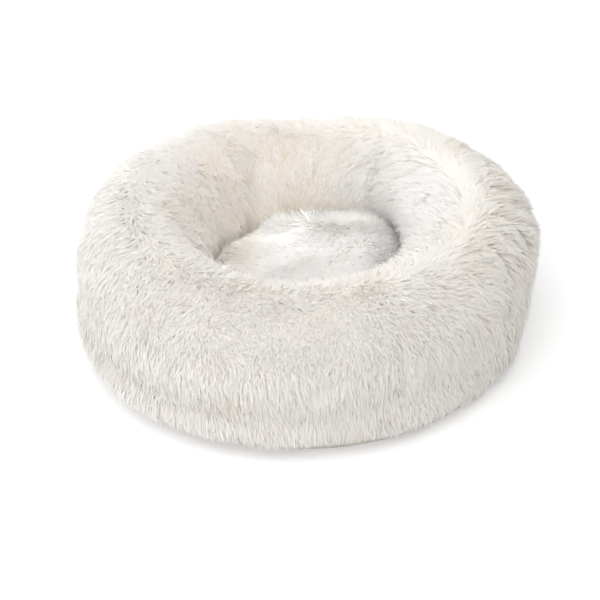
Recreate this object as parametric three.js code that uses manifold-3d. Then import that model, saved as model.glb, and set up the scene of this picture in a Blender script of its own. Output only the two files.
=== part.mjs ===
// A round plush nest bed for a cat: a fur covered roll round a nest, a loose seat
// cushion, a stitched base and a zip at the back. Millimetres, +Z up, the origin in
// the middle of the underside, the front of the bed towards -Y.
import * as THREE from "three";
import { mergeVertices } from "three/addons/utils/BufferGeometryUtils.js";
import Module from "manifold-3d";

const wasm = await Module();
wasm.setup();

// Driving dimensions
const bedDiameter = 600; // over the pile, where the wall bulges most
const bedHeight = 184; // over the pile, at the crest of the roll
const nestDiameter = 264; // between the inner walls
const furThickness = 14; // backing cloth and combed pile together
const pileFloor = 3; // from the floor to the lowest tips of the pile
const linerThickness = 1.5;
const baseClothThickness = 1.2;
const basePadThickness = 8;
const borderHeight = 14.5; // the base cloth strip that carries the fur wall
const seatHeight = 78; // crown of the seat cushion over the nest floor
const seatFurThickness = 12;
const seatGap = 5; // between the seat cushion and the nest wall
const seatUnderThickness = 1.2;
const looseGap = 1; // of a stuffed inner bag in its cover
const touchGap = 0.3; // between pieces that rest on each other

// Shares that give the bed its section
const footShare = 0.96; // foot radius, of the bulge radius
const bulgeHeightShare = 0.55; // of the bed height
const crestShare = 0.506; // of the way from the nest wall to the outer wall
const throatHeightShare = 0.5; // of the bed height, where the nest wall turns upright
const seamHeightShare = 0.68; // of the bed height, where wall and roll are joined
const lowerWallShare = 2.4; // roundness of each stretch: 1 is straight, 2 an ellipse
const upperWallShare = 1.85;
const innerWallShare = 1.9;
const slitShare = 0.7; // of the roll's width, for the slit that fills the liner
const seatSeamShare = 0.46; // of the seat height
const seatFlatShare = 0.86; // of the seat radius, where it lies on the floor
const seatCrownShare = 2.5; // roundness of the crown

// Uneven stuffing: shares of cos and sin of 1, 2, 3 and 4 turns round the bed
const bulgeLumpShares = [[0.008, -0.012], [-0.016, 0.021], [0.02, 0.007], [0.004, -0.007]];
const heightLumpShares = [[-0.008, -0.008], [0.006, 0.014], [-0.014, 0], [-0.003, 0.006]];
const nestLumpShares = [[0.05, 0.03], [0.01, 0.02], [0.008, -0.006], [0.004, 0.004]];

const meldShare = 0.001; // of the touch gap: corners closer than this are one

// Panels and facets
const seamAzimuth = THREE.MathUtils.degToRad(21);
const panelNames = ["right", "back", "left", "front"];
const turns = 40;
const flatTurns = 72;
const wallSteps = 4;
const upperSteps = 6;
const innerSteps = 5;
const crownSteps = 6;

// Zip
const zipArc = THREE.MathUtils.degToRad(118);
const zipSteps = 32;
const borderThickness = 1.2;
const borderSetIn = 11; // from the foot of the fur wall to the border strip
const padSetIn = 4; // of the pad behind the zip
const tapeThickness = 0.8;
const tapeMargin = 1.25; // from a tape's outer edge to the border's edge
const tapeSpace = 2.4; // between the edges of the two tapes
const sewnLap = 2; // of a tape on the border strip
const zipDepth = 7; // from the border strip to the pile that hangs in front of it
const coilWidth = 1.6;
const coilThickness = 1.2;
const coilSpace = 1.7; // between the two coil rows, for the neck of the slider
const stopLength = 3.2;
const sliderLength = 9;
const sliderPlay = 0.45; // round the tapes, the coils and the border
const plateThickness = 1;
const neckThickness = 1;
const neckLength = 4;
const bridgeLength = 6.4;
const bridgeWidth = 1.6;
const bridgeThickness = 0.8;
const tabLength = 24;
const tabThickness = 1.1;
const tabArmWidth = 1.4;
const tabPlay = 0.35; // round the bridge

// Blank sewn label
const labelWidth = 22;
const labelDrop = 11; // below the seam that holds it
const labelThickness = 0.6;
const labelSpace = 8; // from the zip's end to the label

// Derived sizes
const overrun = bedDiameter; // how far a cutting block reaches past the bed
const bulgeRadius = bedDiameter / 2;
const nestRadius = nestDiameter / 2;
const footRadius = bulgeRadius * footShare;
const bulgeHeight = bedHeight * bulgeHeightShare;
const crestRadius = nestRadius + (bulgeRadius - nestRadius) * crestShare;
const throatHeight = bedHeight * throatHeightShare;
const seamHeight = bedHeight * seamHeightShare;
const borderFloor = baseClothThickness + touchGap;
const hemHeight = borderFloor + borderHeight;
const padTop = borderFloor + basePadThickness;
const nestFloorTop = padTop + touchGap + baseClothThickness;
const borderRadius = footRadius - borderSetIn; // outer face of the border strip
const padRadius = borderRadius - borderThickness - padSetIn;
const tapeRadius = borderRadius + touchGap; // inner face of the tapes
const coilRadius = tapeRadius + tapeThickness + touchGap; // inner face of the coils
const zipMiddle = Math.PI / 2;
const zipStart = zipMiddle - zipArc / 2;
const zipHeight = borderFloor + borderHeight / 2; // middle of the zip over the floor
const tapeWidth = (borderHeight - tapeSpace) / 2 - tapeMargin;
const windowHalf = borderHeight / 2 - tapeMargin - sewnLap; // half height of the border's opening
const sliderWidth = 2 * (windowHalf - sliderPlay);
const labelAzimuth = zipStart + zipArc + (labelSpace + labelWidth / 2) / borderRadius;
const partingMargin = 2 * labelSpace + labelWidth; // parted pile past each end of the zip
const seatFloor = nestFloorTop + touchGap;
const seatRadius = nestRadius - seatGap;
const seatSeam = seatFloor + seatHeight * seatSeamShare;

// Materials
const fur = new THREE.MeshStandardMaterial({ color: 0xe9e5df, roughness: 0.95, metalness: 0 });
const baseCloth = new THREE.MeshStandardMaterial({ color: 0xc9c3ba, roughness: 0.9, metalness: 0 });
const linerCloth = new THREE.MeshStandardMaterial({ color: 0xf2f0ec, roughness: 0.9, metalness: 0 });
const fibre = new THREE.MeshStandardMaterial({ color: 0xf7f6f3, roughness: 1, metalness: 0 });
const foam = new THREE.MeshStandardMaterial({ color: 0xe4e0d4, roughness: 1, metalness: 0 });
const zipTape = new THREE.MeshStandardMaterial({ color: 0xe6e1d8, roughness: 0.85, metalness: 0 });
const zipNylon = new THREE.MeshStandardMaterial({ color: 0xece8df, roughness: 0.5, metalness: 0 });
const zipMetal = new THREE.MeshStandardMaterial({ color: 0xb9b6b0, roughness: 0.35, metalness: 1 });
const labelSatin = new THREE.MeshStandardMaterial({ color: 0xf4f2ee, roughness: 0.6, metalness: 0 });

const bed = new THREE.Group();
bed.name = "cat_bed";

function piece(name, geometry, material) {
  const mesh = new THREE.Mesh(geometry, material);
  mesh.name = name;
  bed.add(mesh);
  return mesh;
}

// A closed geometry as a solid that can be cut, and back.
function solidOf(geometry) {
  const bare = geometry.clone();
  bare.deleteAttribute("normal");
  bare.deleteAttribute("uv");
  const merged = mergeVertices(bare, touchGap * meldShare);
  return new wasm.Manifold(
    new wasm.Mesh({
      numProp: 3,
      vertProperties: new Float32Array(merged.attributes.position.array),
      triVerts: new Uint32Array(merged.index.array),
    }),
  );
}

function geometryOf(solid) {
  const mesh = solid.getMesh();
  const geometry = new THREE.BufferGeometry();
  geometry.setAttribute("position", new THREE.BufferAttribute(mesh.vertProperties, 3));
  geometry.setIndex(new THREE.BufferAttribute(mesh.triVerts, 1));
  return geometry;
}

// A closed ring or a dome from points [radius, height] that run up its outer face first.
function revolve(points, count = turns) {
  const profile = points.map(([radius, height]) => new THREE.Vector2(radius, height));
  return new THREE.LatheGeometry(profile, count).rotateX(Math.PI / 2);
}

function ringOf(points, count = turns) {
  return revolve([...points, points[0]], count);
}

// An arc of a flat ring, from one radius and height to another.
function arcBar(innerRadius, outerRadius, start, sweep, bottom, top, steps = zipSteps) {
  const outline = new THREE.Shape();
  outline.absarc(0, 0, outerRadius, start, start + sweep, false);
  outline.absarc(0, 0, innerRadius, start + sweep, start, true);
  return new THREE.ExtrudeGeometry(outline, {
    depth: top - bottom,
    bevelEnabled: false,
    curveSegments: steps,
  }).translate(0, 0, bottom);
}

function smooth(value) {
  const share = THREE.MathUtils.clamp(value, 0, 1);
  return share * share * (3 - 2 * share);
}

function lump(shares, azimuth) {
  return shares.reduce(
    (sum, [along, across], i) =>
      sum + along * Math.cos((i + 1) * azimuth) + across * Math.sin((i + 1) * azimuth),
    0,
  );
}

// Moves each point as the uneven stuffing does. Below the hem nothing moves.
function stuffed(geometry) {
  const place = geometry.attributes.position;
  for (let i = 0; i < place.count; i++) {
    const [x, y, z] = [place.getX(i), place.getY(i), place.getZ(i)];
    const radius = Math.hypot(x, y);
    if (radius === 0) continue;
    const azimuth = Math.atan2(y, x);
    const raised = smooth((z - hemHeight) / (bulgeHeight - hemHeight));
    const outward = smooth((radius - crestRadius) / (bulgeRadius - crestRadius));
    const inward = smooth((crestRadius - radius) / (crestRadius - nestRadius));
    const shift =
      radius * raised * outward * lump(bulgeLumpShares, azimuth) +
      Math.min(radius, nestRadius) * inward * lump(nestLumpShares, azimuth);
    const lift = z * raised * (1 - inward) * lump(heightLumpShares, azimuth);
    const scale = (radius + shift) / radius;
    place.setXYZ(i, x * scale, y * scale, z + lift);
  }
  return geometry;
}

// Radius of the outer wall at a height, set in from the pile by a layer's depth.
function wallRadius(height, depth) {
  const bulge = bulgeRadius - depth;
  if (height < bulgeHeight) {
    const low = 1 - height / bulgeHeight;
    const rise = (1 - low ** lowerWallShare) ** (1 / lowerWallShare);
    return footRadius - depth + (bulge - footRadius + depth) * rise;
  }
  const high = (height - bulgeHeight) / (bedHeight - depth - bulgeHeight);
  const rise = (1 - high ** upperWallShare) ** (1 / upperWallShare);
  return crestRadius + (bulge - crestRadius) * rise;
}

// Points [radius, height] up the outer wall between two heights.
function wallPoints(from, to, depth, steps = wallSteps) {
  return Array.from({ length: steps + 1 }, (_, i) => {
    const height = from + ((to - from) * i) / steps;
    return [wallRadius(height, depth), height];
  });
}

// Points over the crest from the outer wall at a height to the foot of the nest wall.
function rollPoints(from, depth, foot) {
  const top = bedHeight - depth;
  const start = Math.asin(((from - bulgeHeight) / (top - bulgeHeight)) ** (upperWallShare / 2));
  const outer = Array.from({ length: upperSteps }, (_, i) => {
    const turn = start + ((Math.PI / 2 - start) * i) / upperSteps;
    const width = bulgeRadius - depth - crestRadius;
    return [
      crestRadius + width * Math.cos(turn) ** (2 / upperWallShare),
      bulgeHeight + (top - bulgeHeight) * Math.sin(turn) ** (2 / upperWallShare),
    ];
  });
  const inner = Array.from({ length: innerSteps + 1 }, (_, i) => {
    const turn = ((Math.PI / 2) * i) / innerSteps;
    const width = crestRadius - nestRadius - depth;
    return [
      crestRadius - width * Math.sin(turn) ** (2 / innerWallShare),
      throatHeight + (top - throatHeight) * Math.cos(turn) ** (2 / innerWallShare),
    ];
  });
  return [...outer, ...inner, [nestRadius + depth, foot]];
}

// Cuts a ring into its four sewn panels, with a seam gap between them.
function panels(whole) {
  return panelNames.map((name, i) => {
    const block = new THREE.BoxGeometry(overrun, overrun, overrun)
      .translate((overrun + touchGap) / 2, (overrun + touchGap) / 2, 0)
      .rotateZ(seamAzimuth + ((i - 1) * Math.PI) / 2);
    return [name, geometryOf(whole.intersect(solidOf(block)))];
  });
}

// What is left of one stuffed ring or dome when a smaller one is taken out of it
function shell(outside, inside) {
  return solidOf(stuffed(outside)).subtract(solidOf(stuffed(inside)));
}

// Section under the roll cover. A cutting one runs a little past the cover's two edges.
function rollSection(depth, past) {
  const seam = seamHeight + touchGap;
  const foot = padTop + touchGap;
  const over = rollPoints(seam, depth, foot);
  const edges = past > 0 ? [[over[0][0], seam - past]] : [];
  const foots = past > 0 ? [[nestRadius + depth, foot - past]] : [];
  const corner = crestRadius + past;
  return [...edges, ...over, ...foots, [corner, foot - past], [corner, seam - past]];
}

// Fur cover of the roll, from the seam over the crest and down the nest wall
function rollCover() {
  return shell(ringOf(rollSection(0, 0)), ringOf(rollSection(furThickness, touchGap)));
}

// Fur wall between the border strip and the seam. Its pile hangs past the strip
// almost to the floor, and is parted in front of the zip.
function wallCover() {
  const foot = hemHeight + touchGap;
  const outside = [
    [crestRadius, pileFloor],
    [wallRadius(pileFloor, 0), pileFloor],
    ...wallPoints(foot, seamHeight, 0),
    [crestRadius, seamHeight],
  ];
  const inner = wallPoints(foot, seamHeight, furThickness);
  const inside = [
    [crestRadius - touchGap, pileFloor - touchGap],
    [borderRadius + zipDepth, pileFloor - touchGap],
    [borderRadius + zipDepth, foot],
    ...inner,
    [inner[wallSteps][0], seamHeight + touchGap],
    [crestRadius - touchGap, seamHeight + touchGap],
  ];
  const margin = partingMargin / borderRadius;
  const parting = arcBar(borderRadius, overrun, zipStart - margin, zipArc + 2 * margin, 0, foot);
  return shell(ringOf(outside), ringOf(inside)).subtract(solidOf(parting));
}

// Section of the stuffed ring inside the fur, set in from the liner's outer face
function stuffingSection(inset) {
  const depth = furThickness + looseGap + inset;
  const foot = padTop + touchGap + inset;
  const ledge = hemHeight + touchGap + inset;
  return [
    [padRadius - inset, foot],
    [padRadius - inset, ledge],
    ...wallPoints(ledge, seamHeight, depth).slice(0, -1),
    ...rollPoints(seamHeight, depth, foot),
  ];
}

// Plain inner bag of the ring, open along its filling slit
function ringLiner() {
  const bag = shell(ringOf(stuffingSection(0)), ringOf(stuffingSection(linerThickness)));
  const slitLength = (bulgeRadius - nestRadius) * slitShare;
  const slit = new THREE.BoxGeometry(linerThickness * 2, slitLength, bedHeight)
    .translate(0, -(nestRadius + bulgeRadius) / 2, bedHeight / 2 + bulgeHeight)
    .rotateZ(seamAzimuth);
  return geometryOf(bag.subtract(solidOf(slit)));
}

function ringFilling() {
  return stuffed(ringOf(stuffingSection(linerThickness + touchGap)));
}

// Crown of the seat cushion from its seam to the axis, a layer's depth under the pile
function crownPoints(from, depth) {
  const width = seatRadius - depth;
  const rise = seatFloor + seatHeight - depth - from;
  return Array.from({ length: crownSteps + 1 }, (_, i) => {
    const turn = ((Math.PI / 2) * i) / crownSteps;
    const radius = i === crownSteps ? 0 : width * Math.cos(turn) ** (2 / seatCrownShare);
    return [radius, from + rise * Math.sin(turn) ** (2 / seatCrownShare)];
  });
}

// Underside of the seat cushion from the axis to its seam
function underPoints(depth) {
  const flat = seatRadius * seatFlatShare - depth;
  const floor = seatFloor + depth;
  const steps = crownSteps / 2;
  const side = Array.from({ length: steps + 1 }, (_, i) => {
    const turn = ((Math.PI / 2) * i) / steps;
    const reach = seatRadius - depth - flat;
    return [flat + reach * Math.sin(turn), seatSeam - (seatSeam - floor) * Math.cos(turn)];
  });
  return [[0, floor], ...side];
}

// Fur top of the seat cushion: a dome less the dome under it
function seatTopCover() {
  const edge = seatSeam + touchGap;
  const crown = (depth, past) => {
    const dome = crownPoints(edge, depth);
    const rim = past > 0 ? [[dome[0][0], edge - past]] : [];
    return revolve([[0, edge - past], ...rim, ...dome]);
  };
  return geometryOf(shell(crown(0, 0), crown(seatFurThickness, touchGap)));
}

// Plain lower half of the seat's cover: a tray
function seatUnderCover() {
  const tray = (depth, past) => {
    const under = underPoints(depth);
    const rim = past > 0 ? [[seatRadius - depth, seatSeam + past]] : [];
    return revolve([...under, ...rim, [0, seatSeam + past]]);
  };
  return geometryOf(shell(tray(0, 0), tray(seatUnderThickness, touchGap)));
}

function seatFilling() {
  const under = underPoints(seatUnderThickness + touchGap);
  const crown = crownPoints(seatSeam, seatFurThickness + looseGap);
  return stuffed(revolve([...under, ...crown]));
}

function basePanel() {
  return new THREE.CylinderGeometry(borderRadius, borderRadius, baseClothThickness, flatTurns)
    .rotateX(Math.PI / 2)
    .translate(0, 0, baseClothThickness / 2);
}

function basePad() {
  return new THREE.CylinderGeometry(padRadius, padRadius, basePadThickness, flatTurns)
    .rotateX(Math.PI / 2)
    .translate(0, 0, borderFloor + basePadThickness / 2);
}

function nestFloor() {
  const radius = nestRadius - touchGap;
  const floor = padTop + touchGap;
  return stuffed(
    revolve([
      [0, floor],
      [radius, floor],
      [radius, floor + baseClothThickness],
      [0, floor + baseClothThickness],
    ]),
  );
}

// Strip of base cloth turned up round the bed, with the opening that the zip closes
function baseBorder() {
  const inner = borderRadius - borderThickness;
  const strip = ringOf(
    [
      [inner, borderFloor],
      [borderRadius, borderFloor],
      [borderRadius, hemHeight],
      [inner, hemHeight],
    ],
    flatTurns,
  );
  const lap = sewnLap / borderRadius;
  const opening = arcBar(
    inner - padSetIn,
    borderRadius + padSetIn,
    zipStart + lap,
    zipArc - 2 * lap,
    zipHeight - windowHalf,
    zipHeight + windowHalf,
  );
  return geometryOf(solidOf(strip).subtract(solidOf(opening)));
}

// Zip: two tapes, two coil rows on them, a stop at each end
const stopTurn = stopLength / coilRadius;
const gapTurn = touchGap / coilRadius;
const coilStart = zipStart + stopTurn + 2 * gapTurn;
const coilSweep = zipArc - 2 * (coilStart - zipStart);

// Bottom and top of a strip on one side of the zip's middle, 1 above it and -1 below
function stripEdges(side, space, width) {
  const middle = zipHeight + (side * (space + width)) / 2;
  return [middle - width / 2, middle + width / 2];
}

function zipTapeArc(side) {
  const edges = stripEdges(side, tapeSpace, tapeWidth);
  return arcBar(tapeRadius, tapeRadius + tapeThickness, zipStart, zipArc, ...edges);
}

function zipCoilArc(side) {
  const edges = stripEdges(side, coilSpace, coilWidth);
  return arcBar(coilRadius, coilRadius + coilThickness, coilStart, coilSweep, ...edges);
}

function zipStop(start) {
  const half = coilSpace / 2 + coilWidth;
  const bottom = zipHeight - half;
  const top = zipHeight + half;
  return arcBar(coilRadius, coilRadius + coilThickness, start, stopTurn, bottom, top, 1);
}

// A block of the zip slider, centred on the zip: its length along the zip, the two
// radii that it lies between, its height, and how far along the zip it stands.
function sliderBlock(length, from, to, width, along = 0) {
  const block = new THREE.BoxGeometry(to - from, length, width);
  return block.translate((from + to) / 2, along, zipHeight);
}

const sliderTurn = coilStart + (sliderLength / 2 + sliderPlay) / coilRadius;
const frontPlate = coilRadius + coilThickness + sliderPlay; // inner face of the outer plate
const backPlate = tapeRadius - sliderPlay; // outer face of the inner plate
const bridgeFoot = frontPlate + plateThickness;
const bridgeInside = bridgeFoot + tabThickness + 2 * tabPlay;
const tabAxis = bridgeFoot + tabPlay + tabThickness / 2; // radius of the tab's hinge

function zipSlider() {
  const sunk = plateThickness / 2; // how far the neck and the bridge reach into a plate
  const legOffset = (bridgeLength - bridgeThickness) / 2;
  const legTop = bridgeInside + bridgeThickness / 2;
  const blocks = [
    sliderBlock(sliderLength, backPlate - plateThickness, backPlate, sliderWidth),
    sliderBlock(sliderLength, frontPlate, bridgeFoot, sliderWidth),
    sliderBlock(neckLength, backPlate - sunk, frontPlate + sunk, neckThickness),
    sliderBlock(bridgeLength, bridgeInside, bridgeInside + bridgeThickness, bridgeWidth),
    sliderBlock(bridgeThickness, bridgeFoot - sunk, legTop, bridgeWidth, -legOffset),
    sliderBlock(bridgeThickness, bridgeFoot - sunk, legTop, bridgeWidth, legOffset),
  ];
  const slider = blocks.map(solidOf).reduce((sum, block) => sum.add(block));
  return geometryOf(slider).rotateZ(sliderTurn);
}

// Pull tab: a flat tongue whose open end has a bar that turns inside the bridge
function pullTab() {
  const openHalf = bridgeWidth / 2 + tabPlay;
  const half = openHalf + tabArmWidth;
  const barEnd = tabThickness / 2;
  const openEnd = bridgeLength / 2 + tabPlay + barEnd;
  const outline = new THREE.Shape();
  outline.moveTo(-barEnd, -half);
  outline.lineTo(tabLength - half, -half);
  outline.absarc(tabLength - half, 0, half, -Math.PI / 2, Math.PI / 2, false);
  outline.lineTo(-barEnd, half);
  outline.closePath();
  const hole = new THREE.Path();
  hole.moveTo(barEnd, -openHalf);
  hole.lineTo(barEnd, openHalf);
  hole.lineTo(openEnd, openHalf);
  hole.lineTo(openEnd, -openHalf);
  hole.closePath();
  outline.holes.push(hole);
  const tongue = new THREE.ExtrudeGeometry(outline, {
    depth: tabThickness,
    bevelEnabled: false,
    curveSegments: crownSteps * 2,
  });
  return tongue
    .translate(0, 0, -tabThickness / 2)
    .rotateX(Math.PI / 2)
    .rotateZ(Math.PI / 2)
    .translate(tabAxis, 0, zipHeight)
    .rotateZ(sliderTurn);
}

function blankLabel() {
  return new THREE.BoxGeometry(labelThickness, labelWidth, labelDrop)
    .translate(tapeRadius + labelThickness / 2, 0, hemHeight - labelDrop / 2)
    .rotateZ(labelAzimuth);
}

panels(rollCover()).forEach(([name, geometry]) => piece(`roll_panel_${name}`, geometry, fur));
panels(wallCover()).forEach(([name, geometry]) => piece(`wall_panel_${name}`, geometry, fur));
piece("ring_liner", ringLiner(), linerCloth);
piece("ring_filling", ringFilling(), fibre);
piece("seat_top_cover", seatTopCover(), fur);
piece("seat_under_cover", seatUnderCover(), linerCloth);
piece("seat_filling", seatFilling(), fibre);
piece("nest_floor", nestFloor(), linerCloth);
piece("base_panel", basePanel(), baseCloth);
piece("base_pad", basePad(), foam);
piece("base_border", baseBorder(), baseCloth);
piece("zip_tape_upper", zipTapeArc(1), zipTape);
piece("zip_tape_lower", zipTapeArc(-1), zipTape);
piece("zip_coil_upper", zipCoilArc(1), zipNylon);
piece("zip_coil_lower", zipCoilArc(-1), zipNylon);
piece("zip_stop_start", zipStop(zipStart + gapTurn), zipMetal);
piece("zip_stop_end", zipStop(coilStart + coilSweep + gapTurn), zipMetal);
piece("zip_slider", zipSlider(), zipMetal);
piece("zip_pull_tab", pullTab(), zipMetal);
piece("blank_label", blankLabel(), labelSatin);

export default bed;
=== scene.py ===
"""A round plush nest bed for a cat: a stuffed ring in long pile fur, a loose seat cushion,
a stitched base and a zip at the back. Metres, +Z up, the front of the bed towards -Y."""

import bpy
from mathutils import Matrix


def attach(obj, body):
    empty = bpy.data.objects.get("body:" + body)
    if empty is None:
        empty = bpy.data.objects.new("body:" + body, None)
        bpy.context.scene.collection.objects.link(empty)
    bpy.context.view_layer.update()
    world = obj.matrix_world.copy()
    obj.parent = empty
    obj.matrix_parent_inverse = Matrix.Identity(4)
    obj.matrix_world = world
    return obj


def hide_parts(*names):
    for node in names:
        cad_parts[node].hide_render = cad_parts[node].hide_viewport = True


bl_info = {
    "name": "Round Plush Cat Bed",
    "version": (1, 0, 0),
    "blender": (4, 5, 0),
    "location": "3D View > Sidebar > Cat Bed",
    "description": "Sews, stuffs and furs a round nest bed over its packed solids",
    "category": "Add Mesh",
}

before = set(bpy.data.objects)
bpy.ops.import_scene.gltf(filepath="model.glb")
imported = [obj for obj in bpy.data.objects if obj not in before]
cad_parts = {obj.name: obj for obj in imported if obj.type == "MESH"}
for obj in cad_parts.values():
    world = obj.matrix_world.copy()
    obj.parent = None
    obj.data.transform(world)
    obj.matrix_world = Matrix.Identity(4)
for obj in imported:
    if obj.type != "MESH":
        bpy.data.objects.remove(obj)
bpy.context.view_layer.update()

from contextlib import contextmanager
from math import cos, pi, radians, sin, tau

import bpy
import numpy as np
from mathutils import Matrix, Vector
from mathutils.kdtree import KDTree

# Sizes of the bed's section, as its maker set them (metres)
CREST_RADIUS, CREST_HEIGHT = 0.2170, 0.184
SEAM_HEIGHT = 0.1251
HEM_HEIGHT = 0.016
SEAT_SEAM = 0.0472
BORDER_RADIUS = 0.277
SIDES = ("right", "back", "left", "front")
SEAM_AZIMUTH, QUARTER = radians(21), pi / 2

# The zip: where it starts round the bed and how far it runs, and its height
ZIP_START, ZIP_ARC = radians(31), radians(118)
ZIP_HEIGHT = 0.00875
COIL_START, COIL_ARC = radians(31.78), radians(116.45)
# The coils: their radius, their teeth's pitch and how far each is from the zip's middle
COIL_RADIUS, COIL_PITCH, COIL_OFF = 0.2790, 0.00125, 0.00165
# The zip's seams: their radius, and how far each is from the zip's middle and from its ends
SEWN_RADIUS, SEWN_OFF, SEWN_PAST = 0.27815, 0.0052, 0.0072
# The base's layers: the radius, bottom and top of each
BASE_CLOTH = (BORDER_RADIUS, 0.0, 0.0012)
BASE_PAD = (0.2718, 0.0015, 0.0095)
NEST_FLOOR = (0.1317, 0.0098, 0.0110)
# The cloth of the covers, and how far the label hangs, stands off and bows
RING_CLOTH, SEAT_CLOTH = 0.0012, 0.001
LABEL_HANG, LABEL_OFF, LABEL_BOW = 0.011, 0.0006, 0.0007

# Edges sharper than this are rounded, and flatter ones are shaded smooth
SHARP, SMOOTH = radians(40), radians(35)


# Handling objects


def only(piece):
    """Leaves just this object selected, and active."""
    if bpy.context.object and bpy.context.object.mode != "OBJECT":
        bpy.ops.object.mode_set(mode="OBJECT")
    bpy.ops.object.select_all(action="DESELECT")
    piece.select_set(True)
    bpy.context.view_layer.objects.active = piece


@contextmanager
def editing(piece, select="SELECT"):
    """Edit mode on one piece, with all or none of it selected."""
    only(piece)
    bpy.ops.object.mode_set(mode="EDIT")
    bpy.ops.mesh.select_all(action=select)
    yield
    bpy.ops.object.mode_set(mode="OBJECT")


def apply_modifier(piece, kind, **settings):
    only(piece)
    modifier = piece.modifiers.new(kind.title(), kind)
    for name, value in settings.items():
        setattr(modifier, name, value)
    bpy.ops.object.modifier_apply(modifier=modifier.name)


def round_edges(piece, width, segments=2):
    apply_modifier(piece, "BEVEL", width=width, segments=segments, limit_method="ANGLE", angle_limit=SHARP)


def smooth_over(piece):
    only(piece)
    bpy.ops.object.shade_smooth()


def object_of(mesh, name):
    piece = bpy.data.objects.new(name, mesh)
    bpy.context.collection.objects.link(piece)
    return piece


def copy_of(node, name, cloth_grid=None, smoothing=8):
    """A new piece with a CAD node's surface, its corners merged, and on a grid of its own
    where one is given."""
    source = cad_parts[node]
    piece = object_of(source.data.copy(), name)
    piece.data.transform(source.matrix_world)
    piece.data.materials.clear()
    with editing(piece):
        bpy.ops.mesh.remove_doubles(threshold=1e-5)
    if cloth_grid:
        apply_modifier(piece, "REMESH", mode="VOXEL", voxel_size=cloth_grid)
        if smoothing:
            apply_modifier(piece, "SMOOTH", factor=0.5, iterations=smoothing)
    return piece


def rows_of(items, name):
    """A vector that each vertex or face has, as rows."""
    flat = np.empty(len(items) * 3)
    items.foreach_get(name, flat)
    return flat.reshape(-1, 3)


def points_of(piece):
    return rows_of(piece.data.vertices, "co")


def normals_of(piece):
    return rows_of(piece.data.vertices, "normal")


def set_points(piece, points):
    piece.data.vertices.foreach_set("co", np.asarray(points).ravel())
    piece.data.update()


def smoothstep(value):
    share = np.clip(value, 0, 1)
    return share * share * (3 - 2 * share)


def unit(vectors):
    return vectors / np.maximum(np.linalg.norm(vectors, axis=-1, keepdims=True), 1e-9)


def polar(points):
    return np.hypot(points[:, 0], points[:, 1]), np.arctan2(points[:, 1], points[:, 0])


def bell(azimuth, middle, width):
    """1 at an angle round the bed, fading to both sides of it."""
    return np.exp(-((((azimuth - middle + pi) % tau - pi) / width) ** 2))


def ridge(values, middle, width):
    """1 at a value, fading to both sides of it."""
    return np.exp(-(((values - middle) / width) ** 2))


# Materials


def step(operation, swapped=False):
    """A method for one step of arithmetic, its two values swapped in a reflected form."""

    def method(self, other):
        return self.math(operation, *((other, self) if swapped else (self, other)))

    return method


class Wire:
    """A value, vector or colour on its way through a material's nodes."""

    def __init__(self, tree, socket):
        self.tree, self.socket = tree, socket

    def math(self, operation, *values):
        """One step of arithmetic on the values, in their order."""
        node = self.tree.nodes.new("ShaderNodeMath")
        node.operation = operation
        for socket, value in zip(node.inputs, values):
            plug(self.tree, socket, value)
        return Wire(self.tree, node.outputs[0])

    __add__ = __radd__ = step("ADD")
    __mul__ = __rmul__ = step("MULTIPLY")
    __sub__, __rsub__ = step("SUBTRACT"), step("SUBTRACT", True)
    __truediv__, __rtruediv__ = step("DIVIDE"), step("DIVIDE", True)
    __pow__, __rpow__ = step("POWER"), step("POWER", True)
    __mod__, __rmod__ = step("FLOORED_MODULO"), step("FLOORED_MODULO", True)

    def sine(self):
        return self.math("SINE", self)

    def size(self):
        return self.math("ABSOLUTE", self)

    def floor(self):
        return self.math("FLOOR", self)

    def ripple(self, pitch):
        """A wave from 0 to 1, its crests a pitch apart."""
        return ((self * (tau / pitch)).sine() + 1) / 2

    def between(self, low, high):
        """0 at low or under, 1 at high or over, smooth between."""
        kind = {"interpolation_type": "SMOOTHSTEP"}
        return add_node(self.tree, "ShaderNodeMapRange", kind, Value=self, From_Min=low, From_Max=high)

    def axis(self, letter):
        return add_node(self.tree, "ShaderNodeSeparateXYZ", out="XYZ".index(letter), Vector=self)


def plug(tree, socket, value):
    if isinstance(value, Wire):
        tree.links.new(value.socket, socket)
    else:
        if getattr(socket, "type", "") == "RGBA" and len(value) == 3:
            value = (*value, 1)
        socket.default_value = value


def add_node(tree, kind, settings=None, out=0, stops=None, **sockets):
    """Adds one node: its settings first, then its sockets, named with _ for spaces."""
    node = tree.nodes.new(kind)
    for name, value in (settings or {}).items():
        setattr(node, name, value)
    if stops:
        ramp = node.color_ramp
        while len(ramp.elements) < len(stops):
            ramp.elements.new(0.5)
        for element, (place, colour) in zip(ramp.elements, stops):
            element.position = place
            element.color = (*linear(colour), 1)
    for name, value in sockets.items():
        wanted = (name, name.replace("_", " "))
        found = [s for s in node.inputs if s.enabled and (s.name in wanted or s.identifier in wanted)]
        plug(tree, found[0], value)
    return Wire(tree, [s for s in node.outputs if s.enabled][out])


def linear(colour):
    """A screen colour, 0 to 255, as linear light."""
    parts = [c / 255 for c in colour]
    return tuple(c / 12.92 if c <= 0.04045 else ((c + 0.055) / 1.055) ** 2.4 for c in parts)


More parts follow.
